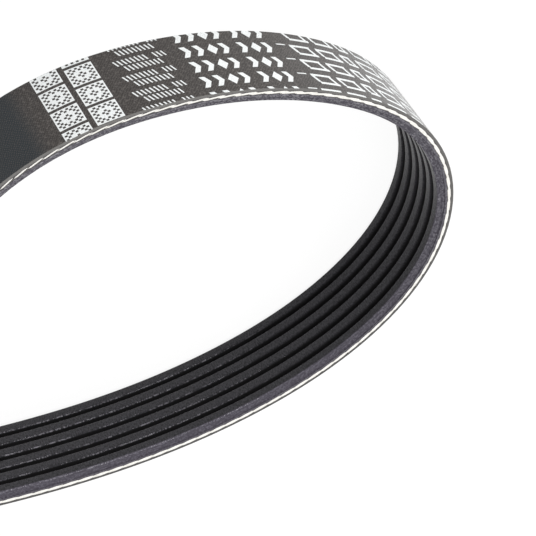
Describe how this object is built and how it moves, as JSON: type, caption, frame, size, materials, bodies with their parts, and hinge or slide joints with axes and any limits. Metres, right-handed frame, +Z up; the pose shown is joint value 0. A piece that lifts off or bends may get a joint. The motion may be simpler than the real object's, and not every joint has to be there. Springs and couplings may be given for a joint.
{
  "type": "serpentine belt",
  "caption": "Endless multi-rib rubber drive belt for engine accessories, ribs inside and flat back outside, standing on its cut edge as a long loop with rounded ends.",
  "frame": {"origin": "middle of the loop's box, on the floor that the belt's lower cut edge stands on", "axes": "+X along the loop's long direction, +Z up across the belt's width, from the lower cut edge to the upper one"},
  "size_m": [0.7614, 0.1012, 0.0214],
  "materials": {
    "rib_rubber": "moulded rubber filled with short fibres, matt, with pale fibre flecks on cut faces",
    "cord": "twisted white polyester cord, cut along at the belt's edges",
    "back_fabric": null
  },
  "bodies": {
    "root": {"rib_body": "rib_rubber", "tension_cord": "cord", "back_ply": "back_fabric"}
  },
  "joints": []
}
